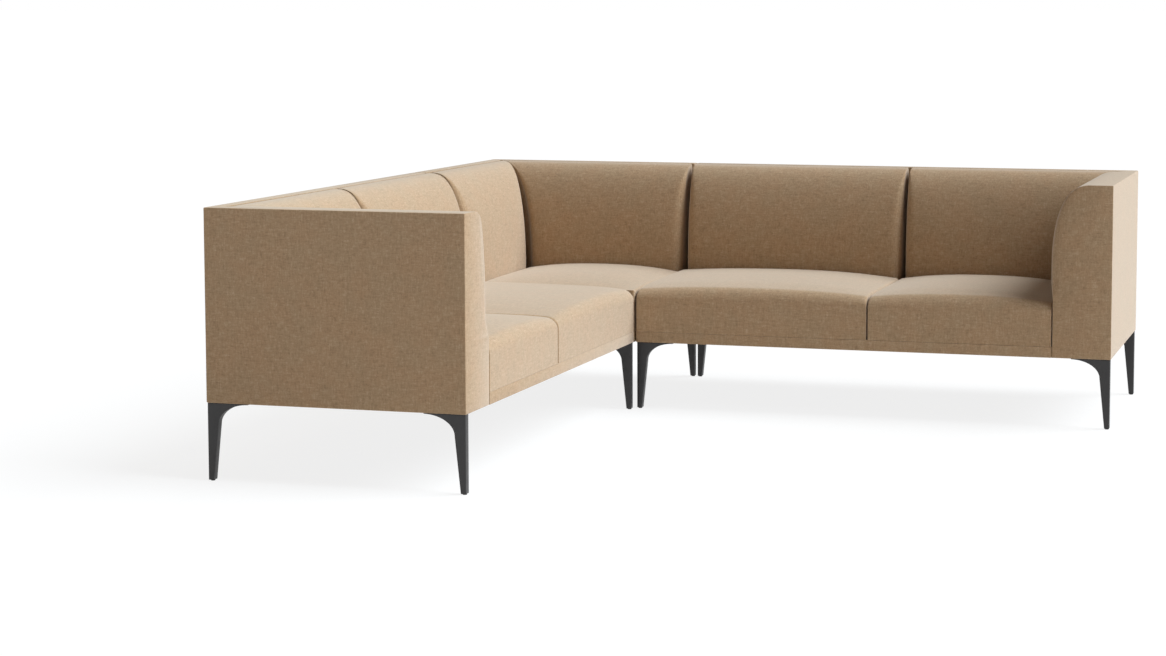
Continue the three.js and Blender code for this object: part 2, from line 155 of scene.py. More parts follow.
class SofaShape(bpy.types.PropertyGroup):
    """Sizes of the sofa's soft forms."""

    seat_edge_height: length_property("Seat edge height", 0.384, "Height of a seat's top at its seams")
    seat_crown: length_property("Seat crown", 0.024, "How far a seat rises in its middle")
    seat_front_round: length_property("Seat front round", 0.034, "Radius of a seat's upper front edge")
    seat_back_round: length_property("Seat back round", 0.014, "Radius of a seat's upper rear edge")
    seat_side_round: length_property("Seat side round", 0.009, "Radius of a seat's upper side edges")
    seat_face_round: length_property(
        "Seat face round", 0.002, "Radius of a seat's upright front edges")
    seat_gap: length_property(
        "Seat gap", 0.0042, "How far a wide seat stands back from the narrow one")
    seat_front_fall: length_property(
        "Seat front fall", 0.006, "How far a seat's top falls towards its front edge")
    seat_joint_rise: length_property(
        "Seat joint rise", 0.008, "How far a wide seat's end rises at the corner unit")
    seat_corner_round: length_property(
        "Seat corner round", 0.006, "Radius of the corner seat's front edge and inner corner")
    back_flat_top: length_property("Back flat top", 0.060, "Depth of the flat top of a back")
    back_depth: length_property("Back depth", 0.197, "Depth of a back at the seat")
    back_drop: length_property(
        "Back shoulder drop", 0.356, "Height over which a back's shoulder curves")
    back_power: power_property("Back shoulder fullness", 2.3, "Power of the shoulder's superellipse")
    pad_round: length_property("Pad end round", 0.034, "Radius of the upright ends of a back pad")
    pad_gap: length_property(
        "Pad gap", 0.0045, "How far back pads stand back from the seam between them")
    pad_swell: length_property("Pad swell", 0.008, "How far a back pad swells in its middle")
    arm_flat_top: length_property("Arm flat top", 0.066, "Width of an arm's flat top")
    arm_drop: length_property("Arm shoulder drop", 0.260, "Height over which an arm's shoulder curves")
    arm_power: power_property("Arm shoulder fullness", 2.4, "Power of the shoulder's superellipse")
    arm_seat_thickness: length_property(
        "Arm thickness at the seat", 0.177, "Thickness of an arm beside the seat")
    arm_swell_height: length_property(
        "Arm swell height", 0.450, "Height at which an arm reaches its full thickness")
    arm_front_round: length_property("Arm front round", 0.047, "Radius of an arm's inner front edge")
    crisp_edge: length_property("Sewn edge", 0.002, "Radius of the sewn outer edges")
    seam_setback: length_property("Seam setback", 0.0115, "Distance of the sewn lines from an edge")
    seam_width: length_property("Seam width", 0.0012, "Half the width of a sewn line's groove")
    seam_depth: length_property("Seam depth", 0.0009, "Depth of a sewn line's groove")
    grid: length_property("Cloth grid", 0.013, "Size of the faces of a padded piece")


class SofaFinish(bpy.types.PropertyGroup):
    """Colours of the sofa's materials."""

    wool: colour_property("Wool", (0.456, 0.316, 0.192), "Main colour of the woven wool")
    wool_warm: colour_property("Warm wool", (0.473, 0.314, 0.187), "Warmer patches of the wool")
    wool_light: colour_property("Light fibres", (0.583, 0.435, 0.295), "Pale fibres of the wool")
    wool_dark: colour_property("Dark fibres", (0.321, 0.216, 0.128), "Dark fibres of the wool")
    # Painted sheen: a pale colour blended into the wool where it turns away from the view
    wool_painted_sheen: colour_property("Wool fuzz", (0.88, 0.80, 0.70), "Fuzz where the cloth turns away")
    leg_black: colour_property("Leg paint", (0.024, 0.023, 0.024), "Satin black of the legs")
    glide_black: colour_property("Glide nylon", (0.012, 0.012, 0.012), "Black nylon of the glides")
    plywood: colour_property("Plywood", (0.58, 0.40, 0.22), "Birch plywood of the boards")
    bottom_cloth: colour_property("Bottom cloth", (0.018, 0.018, 0.018), "Black cloth under the sofa")
    zinc: colour_property("Zinc", (0.55, 0.56, 0.58), "Zinc-plated steel of the link plates")


def shape():
    return bpy.context.scene.sofa_shape


def finish():
    return bpy.context.scene.sofa_finish


# Editing by hand, in code

def deselect():
    bpy.ops.object.select_all(action="DESELECT")


def select_only(piece):
    deselect()
    piece.select_set(True)
    bpy.context.view_layer.objects.active = piece


def edit(piece, action="DESELECT"):
    """Opens a piece in edit mode, and selects nothing or, with the action SELECT, everything."""
    select_only(piece)
    bpy.ops.object.mode_set(mode="EDIT")
    bpy.ops.mesh.select_all(action=action)


def leave_edit():
    bpy.ops.object.mode_set(mode="OBJECT")


def pick(piece, kind, test):
    """Selects, in edit mode, the vertices, edges or faces that pass a test of their place."""
    bpy.ops.mesh.select_mode(type=kind)
    bpy.ops.mesh.select_all(action="DESELECT")
    mesh = bmesh.from_edit_mesh(piece.data)
    if kind == "VERT":
        for vertex in mesh.verts:
            vertex.select_set(test(vertex.co))
    elif kind == "EDGE":
        for edge in mesh.edges:
            edge.select_set(test(*[v.co for v in edge.verts]))
    else:
        for face in mesh.faces:
            face.select_set(test(face.calc_center_median()))
    mesh.select_flush_mode()
    bmesh.update_edit_mesh(piece.data)


def settled(name):
    """The new primitive, named, with its place and size in its mesh."""
    piece = bpy.context.active_object
    piece.name = name
    bpy.ops.object.transform_apply(location=True, rotation=True, scale=True)
    return piece


def block(name, low, high):
    low, high = Vector(low), Vector(high)
    deselect()
    bpy.ops.mesh.primitive_cube_add(size=1, location=(low + high) / 2, scale=high - low)
    return settled(name)


def cut_across(piece, axis, places):
    """Cuts a piece right across at each place along an axis, and keeps both sides."""
    edit(piece)
    for place in places:
        bpy.ops.mesh.select_all(action="SELECT")
        bpy.ops.mesh.bisect(plane_co=axis * place, plane_no=axis, threshold=HAIR)
    leave_edit()


def between(low, high, spacing):
    """Evenly spaced places between two ends, the ends left out."""
    count = max(1, ceil((high - low) / spacing))
    return [low + (high - low) * i / count for i in range(1, count)]


def move_vertices(piece, place):
    """Moves each vertex of a piece to the place that a function gives for it."""
    for vertex in piece.data.vertices:
        vertex.co = place(vertex.co.copy())
    piece.data.update()


def add_modifier(piece, kind, **values):
    modifier = piece.modifiers.new(kind.title(), kind)
    for key, value in values.items():
        setattr(modifier, key, value)
    return modifier


def apply_modifiers(piece):
    select_only(piece)
    for modifier in list(piece.modifiers):
        bpy.ops.object.modifier_apply(modifier=modifier.name)


def round_edges(piece, width, degrees=30, segments=3, clamp=False):
    """Bevels a piece's edges where its faces turn by more than an angle."""
    add_modifier(piece, "BEVEL", width=width, segments=segments, limit_method="ANGLE",
                 angle_limit=radians(degrees), use_clamp_overlap=clamp)
    apply_modifiers(piece)


def turn_outwards(piece):
    edit(piece, "SELECT")
    bpy.ops.mesh.normals_make_consistent(inside=False)
    leave_edit()


def smooth_by_angle(piece, degrees=40):
    select_only(piece)
    bpy.ops.object.shade_smooth_by_angle(angle=radians(degrees))


def mirrored(piece, name):
    """A copy of a right-wing piece, with its own mesh, mirrored into the left wing."""
    select_only(piece)
    bpy.ops.object.duplicate()
    copy = bpy.context.active_object
    copy.name = name
    copy.data.transform(DIAGONAL_MIRROR)
    turn_outwards(copy)
    return copy


def dress(piece, node, material):
    """Gives a finished piece its material and its place in the frame."""
    piece.data.materials.clear()
    piece.data.materials.append(material)
    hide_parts(node)
    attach(piece, "root")


# Node materials

class Nodes:
    """Writes a material's nodes, one call for each."""

    def __init__(self, name):
        self.material = bpy.data.materials.new(name)
        self.material.use_nodes = True
        self.tree = self.material.node_tree
        self.shader = self.tree.nodes["Principled BSDF"]
        self.place = self.add("ShaderNodeTexCoord").outputs["Object"]

    def add(self, kind, inputs=None, **values):
        node = self.tree.nodes.new(kind)
        for key, value in values.items():
            setattr(node, key, value)
        for key, value in (inputs or {}).items():
            if isinstance(value, bpy.types.NodeSocket):
                self.tree.links.new(value, node.inputs[key])
            else:
                node.inputs[key].default_value = value
        return node

    def shade(self, **values):
        """Sets the shader's own sockets, by their names with underlines for spaces."""
        for key, value in values.items():
            socket = self.shader.inputs[key.replace("_", " ")]
            if isinstance(value, bpy.types.NodeSocket):
                self.tree.links.new(value, socket)
            else:
                socket.default_value = value

    def noise(self, scale, detail=2.0, rough=0.5, stretch=(1, 1, 1)):
        """A noise texture's value, at so many features a metre, stretched along the axes."""
        mapping = self.add("ShaderNodeMapping", {"Vector": self.place, "Scale": stretch})
        texture = self.add("ShaderNodeTexNoise", {
            "Vector": mapping.outputs[0], "Scale": scale, "Detail": detail, "Roughness": rough})
        return texture.outputs["Fac"]

    def remap(self, value, low, high, to_low=0.0, to_high=1.0):
        node = self.add("ShaderNodeMapRange", {
            "Value": value, "From Min": low, "From Max": high, "To Min": to_low, "To Max": to_high})
        return node.outputs[0]

    def blend(self, share, first, second):
        node = self.add("ShaderNodeMix", data_type="RGBA")
        for index, value in ((0, share), (6, first), (7, second)):
            if isinstance(value, bpy.types.NodeSocket):
                self.tree.links.new(value, node.inputs[index])
            elif index == 0:
                node.inputs[index].default_value = value
            else:
                node.inputs[index].default_value = (*value, 1)
        return node.outputs[2]

    def total(self, first, second, kind="ADD"):
        return self.add("ShaderNodeMath", {0: first, 1: second}, operation=kind).outputs[0]

    def bump(self, height, strength, distance):
        node = self.add("ShaderNodeBump", {
            "Height": height, "Strength": strength, "Distance": distance})
        self.tree.links.new(node.outputs[0], self.shader.inputs["Normal"])


def crossing_threads(nodes, scale):
    """Noise drawn out along each axis in turn, and added up: 1.5 on average."""
    stretches = ((0.2, 1, 1), (1, 0.2, 1), (1, 1, 0.2))
    ways = [nodes.noise(scale, 2, 0.6, stretch) for stretch in stretches]
    return nodes.total(nodes.total(ways[0], ways[1]), ways[2])


def wool_material():
    """Milled melange wool: mottled patches, fine threads and coarser slubs, with light and dark
    fibres, and a painted sheen: a paler colour blended in where the cloth turns away from the view."""
    colours = finish()
    nodes = Nodes("camel_wool")
    patches = nodes.remap(nodes.noise(13, 2, 0.55), 0.38, 0.62)
    fibres = crossing_threads(nodes, 330)
    tone = nodes.total(fibres, crossing_threads(nodes, 170))
    base = nodes.blend(patches, colours.wool, colours.wool_warm)
    lighter = nodes.blend(nodes.remap(tone, 3.05, 3.75), base, colours.wool_light)
    colour = nodes.blend(nodes.remap(tone, 2.95, 2.25), lighter, colours.wool_dark)
    # Painted sheen: the wool turns towards a pale colour where the surface faces away from the view.
    edge = nodes.add("ShaderNodeLayerWeight", {"Blend": 0.5}).outputs["Facing"]
    painted_sheen = nodes.total(nodes.remap(edge, 0.45, 0.92, 0.0, 0.54), 1.7, "POWER")
    nodes.shade(
        Base_Color=nodes.blend(painted_sheen, colour, colours.wool_painted_sheen),
        Roughness=0.92,
        Sheen_Weight=0.3,
        Sheen_Roughness=0.5,
        Specular_IOR_Level=0.08,
    )
    nodes.shader.inputs["Sheen Tint"].default_value = (1.0, 0.97, 0.93, 1)
    nodes.bump(fibres, 0.45, 0.0006)
    return nodes.material


def leg_material():
    """Satin powder paint with a fine orange peel."""
    nodes = Nodes("black_satin_paint")
    worn = nodes.noise(60, 3, 0.6)
    nodes.shade(
        Base_Color=(*finish().leg_black, 1),
        Roughness=nodes.remap(worn, 0.3, 0.7, 0.36, 0.50),
        Specular_IOR_Level=0.5,
    )
    nodes.bump(nodes.noise(1400, 1, 0.4), 0.12, 0.0002)
    return nodes.material


def nylon_material():
    nodes = Nodes("black_nylon")
    nodes.shade(
        Base_Color=(*finish().glide_black, 1),
        Roughness=nodes.remap(nodes.noise(300, 2, 0.5), 0.3, 0.7, 0.45, 0.65),
    )
    nodes.bump(nodes.noise(2200, 1, 0.5), 0.1, 0.0002)
    return nodes.material


def plywood_material():
    """Birch plywood: long grain on the faces and thin plies on the edges."""
    nodes = Nodes("birch_plywood")
    grain = nodes.noise(30, 5, 0.6, (0.15, 0.15, 2.5))
    pores = nodes.noise(700, 2, 0.5, (0.08, 0.08, 1))
    tone = nodes.remap(nodes.total(grain, nodes.remap(pores, 0.3, 0.7, -0.1, 0.1)), 0.35, 0.65)
    light = finish().plywood
    dark = tuple(part * 0.72 for part in light)
    nodes.shade(
        Base_Color=nodes.blend(tone, dark, light),
        Roughness=nodes.remap(pores, 0.3, 0.7, 0.55, 0.75),
    )
    nodes.bump(pores, 0.2, 0.0003)
    return nodes.material


def bottom_cloth_material():
    """Black non-woven cloth with a pressed grain."""
    nodes = Nodes("black_lining")
    pressed = nodes.noise(380, 3, 0.7)
    colour = finish().bottom_cloth
    worn = tuple(part * 2.2 for part in colour)
    nodes.shade(
        Base_Color=nodes.blend(nodes.remap(pressed, 0.4, 0.7), colour, worn),
        Roughness=0.9,
        Sheen_Weight=0.1,
    )
    nodes.bump(pressed, 0.4, 0.0006)
    return nodes.material


def zinc_material():
    """Zinc-plated steel: brushed, with a faint mottling of the passivation."""
    nodes = Nodes("zinc_plate")
    clouds = nodes.noise(40, 3, 0.6)
    brushed = nodes.noise(900, 2, 0.5, (0.05, 1, 1))
    light = finish().zinc
    dull = tuple(part * 0.8 for part in light)
    nodes.shade(
        Base_Color=nodes.blend(nodes.remap(clouds, 0.35, 0.65), dull, light),
        Metallic=1.0,
        Roughness=nodes.remap(brushed, 0.3, 0.7, 0.28, 0.42),
    )
    nodes.bump(brushed, 0.1, 0.0002)
    return nodes.material


def shared_material(make, name):
    """The material of that name, made the first time it is needed."""
    return bpy.data.materials.get(name) or make()


def upholster(piece, node):
    """Dresses a finished piece in wool."""
    dress(piece, node, shared_material(wool_material, "camel_wool"))


# Forms of the wings

# A piece is first a block whose length runs from 0 to 1. It is cut across, and its ends are laid
# where its neighbours are, at each depth. A share at each end stands for a zone of fixed length.
END_SHARE = 0.1
END_ZONE = 0.05
END_SPACING = 0.010
END_ARC_STEPS = 5
CROWN_POWER = 2.4
END_ROUND_POWER = 4.5


def end_places(radius, marks=(), first=14):
    """Distances from a pad's end at which it is cut, close together where it rounds over. The arc
    starts at the first angle, in degrees."""
    angles = [radians(first + (90 - first) * i / END_ARC_STEPS) for i in range(END_ARC_STEPS + 1)]
    arc = [radius * (1 - cos(angle)) for angle in angles]
    rest = between(radius, END_ZONE, END_SPACING)
    return sorted({*arc, *rest, END_ZONE, *marks})


def length_cuts(length, distances, spacing):
    """Shares of a pad's length at which it is cut, from distances near its ends."""
    near = [distance / END_ZONE * END_SHARE for distance in distances]
    span = (1 - 2 * END_SHARE) / max(1, (length - 2 * END_ZONE)) * spacing
    middle = between(END_SHARE, 1 - END_SHARE, span)
    return sorted([*near, *middle, *[1 - share for share in near]])


def along_from_share(share, start, end):
    """Distance along the wing for a share of a pad's length."""
    if share <= END_SHARE:
        return start + share / END_SHARE * END_ZONE
    if share >= 1 - END_SHARE:
        return end - (1 - share) / END_SHARE * END_ZONE
    middle = (share - END_SHARE) / (1 - 2 * END_SHARE)
    return start + END_ZONE + middle * (end - start - 2 * END_ZONE)


def drawn_in(radius, distance):
    """How far a rounded edge is drawn in, at a distance from the pad's end."""
    if distance >= radius:
        return 0.0
    rest = radius - distance
    return radius - sqrt(max(0.0, radius * radius - rest * rest))


def eased(share):
    """A share that starts and ends gently, held between 0 and 1."""
    share = min(max(share, 0.0), 1.0)
    return share * share * (3 - 2 * share)


def middle_share(along, start, end):
    """0 at a pad's ends and 1 in its middle, with a broad crown."""
    return 1 - abs(2 * (along - start) / (end - start) - 1) ** CROWN_POWER


def profile_of(power):
    """The bevel operator's profile for a superellipse of that power."""
    return 2 ** (-2 / power)


def shouldered_block(name, low, high, flat, drop, power, segments):
    """A block whose upper edge on the side of the low second axis is rounded to a shoulder, from the
    end of the flat top down to the full depth. It is bevelled square, then stretched upwards."""
    run = (high[1] - low[1]) - flat
    foot = high[2] - drop
    piece = block(name, low, (high[0], high[1], foot + run))
    edit(piece)
    pick(piece, "EDGE", lambda a, b: (
        max(a.y, b.y) < low[1] + HAIR and min(a.z, b.z) > foot + run - HAIR))
    bpy.ops.mesh.bevel(
        offset=run - HAIR, segments=segments, profile=profile_of(power), clamp_overlap=False)
    pick(piece, "VERT", lambda place: place.z > foot + HAIR)
    bpy.ops.transform.resize(value=(1, 1, drop / run), center_override=(0, 0, foot))
    leave_edit()
    return piece


def shoulder_facing(depth, height, flat, full, drop, power):
    """The direction that a shouldered section faces at a point, as depth and height, and how far
    round the shoulder the point lies."""
    across = min(max((depth - flat) / (full - flat), 0.0), 1.0)
    up = min(max((height - (SOFA_TOP - drop)) / drop, 0.0), 1.0)
    facing = Vector((across ** (power - 1) / (full - flat), up ** (power - 1) / drop))
    return facing.normalized(), across ** power


def to_sofa(piece):
    """Moves a piece from the right wing's frame, with the rear corner at zero, into the sofa's."""
    edit(piece, "SELECT")
    bpy.ops.transform.translate(value=(-HALF_WIDTH, HALF_WIDTH, 0))
    leave_edit()


def hold(piece, held):
    """Marks the vertices that the simulation holds still."""
    group = piece.vertex_groups.new(name="held")
    group.add(held, 1.0, "REPLACE")


def evened(piece, values):
    """Values of a piece's vertices, evened out over their neighbours. Held vertices keep theirs."""
    near = [[] for value in values]
    for edge in piece.data.edges:
        first, second = edge.vertices
        near[first].append(second)
        near[second].append(first)
    free = [not vertex.groups for vertex in piece.data.vertices]
    for step in range(SMOOTHING_STEPS):
        values = [
            (value + sum(values[i] for i in others) / len(others)) / 2 if is_free else value
            for value, others, is_free in zip(values, near, free)
        ]
    return values


def inflate(pieces, cap):
    """Fills padded pieces with pressure. Their skins swell evenly outwards, as far as the cap."""
    rest = {piece: [v.co.copy() for v in piece.data.vertices] for piece in pieces}
    facing = {piece: [v.normal.copy() for v in piece.data.vertices] for piece in pieces}
    for piece in pieces:
        cloth = add_modifier(piece, "CLOTH")
        cloth.settings.use_pressure = True
        cloth.settings.uniform_pressure_force = PAD_PRESSURE
        cloth.settings.effector_weights.gravity = 0
        cloth.settings.vertex_group_mass = "held"
        cloth.settings.tension_stiffness = 30
        cloth.settings.compression_stiffness = 30
        cloth.settings.bending_stiffness = 2
        cloth.settings.air_damping = 2
        cloth.collision_settings.use_collision = False
        cloth.point_cache.frame_start = 1
        cloth.point_cache.frame_end = SIMULATED_FRAMES
    for number in range(1, SIMULATED_FRAMES + 1):
        bpy.context.scene.frame_set(number)
    for piece in pieces:
        apply_modifiers(piece)
        swelling = evened(piece, [
            max(0.0, (vertex.co - old).dot(normal))
            for vertex, old, normal in zip(piece.data.vertices, rest[piece], facing[piece])
        ])
        share = min(1.0, cap / max(swelling))
        places = zip(piece.data.vertices, rest[piece], facing[piece], swelling)
        for vertex, old, normal, swell in places:
            vertex.co = old + Vector((0, normal.y, normal.z)) * swell * share
    bpy.context.scene.frame_set(1)


# Back pads

PAD_SHOULDER_STEPS = 30
PAD_HELD_EDGE = 0.001
NARROW_GAP_SHARE = 1.6


def back_pad(name, node, start, end):
    """One back pad in the right wing's frame. start and end give its ends at a depth."""
    sizes = shape()
    low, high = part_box(node)
    piece = shouldered_block(
        name,
        (0, -sizes.back_depth, PAD_BASE),
        (1, -PAD_BACK, SOFA_TOP),
        sizes.back_flat_top - PAD_BACK,
        sizes.back_drop,
        sizes.back_power,
        PAD_SHOULDER_STEPS,
    )
    marks = [sizes.seam_setback + step * sizes.seam_width for step in (-1, 0, 1)]
    cut_across(piece, Vector((1, 0, 0)), length_cuts(
        high.x - low.x, end_places(sizes.pad_round, marks), sizes.grid))
    cut_across(piece, Vector((0, 0, 1)), between(PAD_BASE, SOFA_TOP - sizes.back_drop, sizes.grid))
    modelled = PAD_MODELLED_SHARE

    def lay(place):
        depth, height = -place.y, place.z
        first, last = start(depth), end(depth)
        along = along_from_share(place.x, first, last)
        facing, roundness = shoulder_facing(
            depth, height, sizes.back_flat_top, sizes.back_depth, sizes.back_drop, sizes.back_power)
        radius = sizes.pad_round * facing.x ** END_ROUND_POWER
        push = modelled * sizes.pad_swell * roundness * middle_share(along, first, last)
        push -= drawn_in(radius, along - first) + drawn_in(radius, last - along)
        if roundness == 0:
            push = 0
        return Vector((along, -(depth + facing.x * push), height + facing.y * push))

    seam = piece.data.attributes.new("seam", "FLOAT", "POINT")
    for vertex in piece.data.vertices:
        from_end = min(vertex.co.x, 1 - vertex.co.x) / END_SHARE * END_ZONE
        on_front = -vertex.co.y > sizes.back_flat_top + HAIR
        near = max(0.0, 1 - abs(from_end - sizes.seam_setback) / sizes.seam_width)
        seam.data[vertex.index].value = near if on_front else 0.0
    ends = [v.co.x < HAIR or v.co.x > 1 - HAIR for v in piece.data.vertices]
    move_vertices(piece, lay)
    hold(piece, [
        v.index for v, is_end in zip(piece.data.vertices, ends)
        if is_end or -v.co.y < PAD_BACK + PAD_HELD_EDGE
        or not PAD_BASE + PAD_HELD_EDGE <= v.co.z <= SOFA_TOP - PAD_HELD_EDGE
    ])
    return piece


def sink_seams(piece):
    """Presses the sewn lines into a padded piece."""
    depth = shape().seam_depth
    seam = piece.data.attributes["seam"]
    normals = [v.normal.copy() for v in piece.data.vertices]
    for vertex, normal in zip(piece.data.vertices, normals):
        vertex.co -= normal * depth * seam.data[vertex.index].value


def finish_pad(piece):
    """Subdivides a padded piece, puts it in its place and smooths it."""
    piece.vertex_groups.clear()
    add_modifier(piece, "SUBSURF", levels=1, render_levels=1)
    apply_modifiers(piece)
    to_sofa(piece)
    smooth_by_angle(piece, degrees=50)


class SOFA_OT_back_pads(bpy.types.Operator):
    """Back pads: shouldered forms, swollen by cloth simulation, with sewn ends"""

    bl_idname = "sofa.back_pads"
    bl_label = "Back pads"

    def execute(self, context):
        def ends(node):
            low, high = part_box(node)
            return low.x + HALF_WIDTH, high.x + HALF_WIDTH

        def diagonal_start(depth):
            return depth + MITRE_GAP

        def arm_end(depth):
            return 2 * HALF_WIDTH - min(depth, ARM_THICKNESS) - ARM_MITRE_GAP

        gap = shape().pad_gap
        wide = ends("right_unit_back_pad_wide")
        narrow = ends("right_unit_back_pad_narrow")
        corner = ends("corner_unit_back_pad_right")
        forms = [
            ("right_back_wide", "right_unit_back_pad_wide",
             lambda depth: wide[0] + gap, lambda depth: wide[1] - gap),
            ("right_back_narrow", "right_unit_back_pad_narrow",
             lambda depth: narrow[0] + NARROW_GAP_SHARE * gap, arm_end),
            ("corner_back_right", "corner_unit_back_pad_right",
             diagonal_start, lambda depth: corner[1]),
        ]
        pieces = [back_pad(*form) for form in forms]
        inflate(pieces, shape().pad_swell * (1 - PAD_MODELLED_SHARE))
        for piece, (name, node, *_) in zip(pieces, forms):
            sink_seams(piece)
            finish_pad(piece)
            twin = mirrored(piece, name.replace("right", "left"))
            for pad, replaced in ((piece, node), (twin, node.replace("right", "left"))):
                upholster(pad, replaced)
        return {"FINISHED"}


# Seats

FRONT_STEPS = 8
REAR_STEPS = 4
SEAT_HELD_BASE = 0.002
SEAT_HELD_BACK = 0.004


def seat_facing(depth, height, front_round):
    """The direction that a seat's section faces at a point, as depth and height."""
    top, back_round = shape().seat_edge_height, shape().seat_back_round
    over_front = depth - UNIT_DEPTH + front_round
    over_back = depth - SEAT_BACK - back_round
    if over_front > HAIR and height > top - front_round + HAIR:
        return Vector((over_front, height - top + front_round)).normalized()
    if over_back < -HAIR and height > top - back_round + HAIR:
        return Vector((over_back, height - top + back_round)).normalized()
    if height > top - HAIR:
        return Vector((0, 1))
    if height < SEAT_BASE + HAIR:
        return Vector((0, 0))
    return Vector((1, 0)) if depth > UNIT_DEPTH - HAIR else Vector((-1, 0))


def depth_share(depth):
    """0 at a seat's front edge and 1 at its rear."""
    return (UNIT_DEPTH - depth) / (UNIT_DEPTH - SEAT_BACK)


def near_share(distance, run):
    """1 at an edge, falling to 0 at the run's length from it."""
    return max(0.0, 1 - distance / run) ** 2


def crown_share(depth, front_share):
    """How much of a seat's crown it has at a depth, rising all the way from its share at the front."""
    return 1 - (1 - front_share) * (1 - depth_share(depth)) ** 2


def joint_share(along, depth, start):
    """How much a wide seat rises near its start, beside the corner unit. Its front edge doesn't."""
    return (1 - (1 - depth_share(depth)) ** 3) * near_share(along - start, JOINT_RUN)


def turned_corner(along, depth, end, radius):
    """A point of a seat in plan, drawn in round the corner at the seat's end and front."""
    over, out = along - end + radius, depth - UNIT_DEPTH + radius
    if over <= 0 or out <= 0:
        return along, depth
    share = max(over, out) / sqrt(over * over + out * out)
    return end - radius + over * share, UNIT_DEPTH - radius + out * share


def seat(name, node, front_round, front_share, gap, joint_rise=0.0, corner_round=0.0):
    """One seat pad in the right wing's frame. It stands back from its end by the gap, its front edge
    has that share of the crown, and its start rises beside the corner unit. With a corner's radius,
    the seat is the corner unit's."""
    sizes = shape()
    low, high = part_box(node)
    start, end = low.x + HALF_WIDTH, high.x + HALF_WIDTH - gap
    top = sizes.seat_edge_height
    piece = block(name, (0, -UNIT_DEPTH, SEAT_BASE), (1, -SEAT_BACK, top))
    edit(piece)
    pick(piece, "EDGE", lambda a, b: (
        max(a.y, b.y) < -UNIT_DEPTH + HAIR and min(a.z, b.z) > top - HAIR))
    bpy.ops.mesh.bevel(
        offset=front_round, segments=FRONT_STEPS, profile=0.5, clamp_overlap=False)
    pick(piece, "EDGE", lambda a, b: (
        min(a.y, b.y) > -SEAT_BACK - HAIR and min(a.z, b.z) > top - HAIR))
    bpy.ops.mesh.bevel(
        offset=sizes.seat_back_round, segments=REAR_STEPS, profile=0.5, clamp_overlap=False)
    leave_edit()
    marks = [sizes.seat_face_round, sizes.seat_face_round / 3]
    cut_across(piece, Vector((1, 0, 0)), length_cuts(
        end - start, end_places(sizes.seat_side_round, marks), sizes.grid))
    cut_across(piece, Vector((0, 1, 0)), [-UNIT_DEPTH + FOLD, *between(
        -UNIT_DEPTH + front_round, -SEAT_BACK - sizes.seat_back_round, sizes.grid)])
    cut_across(piece, Vector((0, 0, 1)), [
        SEAT_BASE + FOLD, *between(SEAT_BASE + FOLD, top - front_round, sizes.grid)])
    modelled = SEAT_MODELLED_SHARE
    ends = [v.co.x < HAIR or v.co.x > 1 - HAIR for v in piece.data.vertices]

    def lay(place):
        depth, height = -place.y, place.z
        along = along_from_share(place.x, start, end)
        facing = seat_facing(depth, height, front_round)
        up = max(facing.y, 0.0)
        radius = sizes.seat_face_round + (sizes.seat_side_round - sizes.seat_face_round) * up
        push = -drawn_in(radius, along - start) - drawn_in(radius, end - along)
        middle = middle_share(along, start, end)
        lift = modelled * sizes.seat_crown * middle * crown_share(depth, front_share)
        lift += joint_rise * joint_share(along, depth, start)
        if corner_round:
            fall = (1 + middle) * near_share(UNIT_DEPTH - depth, CORNER_FALL_RUN)
            along, depth = turned_corner(along, depth, end, corner_round)
        else:
            fall = near_share(UNIT_DEPTH - depth, FALL_RUN)
        lift -= sizes.seat_front_fall * fall
        return Vector((along, -(depth + facing.x * push), height + facing.y * push + lift * up))

    move_vertices(piece, lay)
    hold(piece, [
        v.index for v, is_end in zip(piece.data.vertices, ends)
        if is_end or v.co.z < SEAT_BASE + SEAT_HELD_BASE or -v.co.y < SEAT_BACK + SEAT_HELD_BACK
    ])
    return piece


class SOFA_OT_seats(bpy.types.Operator):
    """Seats: crowned cushions, swollen by cloth simulation and drawn down into their seams"""

    bl_idname = "sofa.seats"
    bl_label = "Seats"

    def execute(self, context):
        sizes = shape()
        front = (sizes.seat_front_round, FRONT_CROWN)
        wide = seat(
            "right_seat_wide", "right_unit_seat_wide", *front, sizes.seat_gap,
            joint_rise=sizes.seat_joint_rise)
        narrow = seat("right_seat_narrow", "right_unit_seat_narrow", *front, ARM_SEAM)
        corner = seat(
            "corner_seat", "corner_unit_seat", sizes.seat_corner_round, CORNER_FRONT_CROWN, 0.0,
            corner_round=sizes.seat_corner_round)
        inflate([wide, narrow, corner], sizes.seat_crown * (1 - SEAT_MODELLED_SHARE))
        for piece in (wide, narrow, corner):
            finish_pad(piece)
        twins = [
            (wide, "right_unit_seat_wide"),
            (narrow, "right_unit_seat_narrow"),
            (corner, "corner_unit_seat"),
            (mirrored(wide, "left_seat_wide"), "left_unit_seat_wide"),
            (mirrored(narrow, "left_seat_narrow"), "left_unit_seat_narrow"),
        ]
        for piece, node in twins:
            upholster(piece, node)
        return {"FINISHED"}


# Arms

ARM_SHOULDER_STEPS = 26
ARM_FIRST_ANGLE = 20
ARM_LENGTH_SPACING = 0.04
ARM_SIDE_SPACING = 0.05
ARM_SWELL_SPACING = 0.01


def arm_swell_share(height):
    """0 beside the seat and 1 where an arm has its full thickness."""
    low, high = shape().seat_edge_height, shape().arm_swell_height
    return eased((height - low) / (high - low))


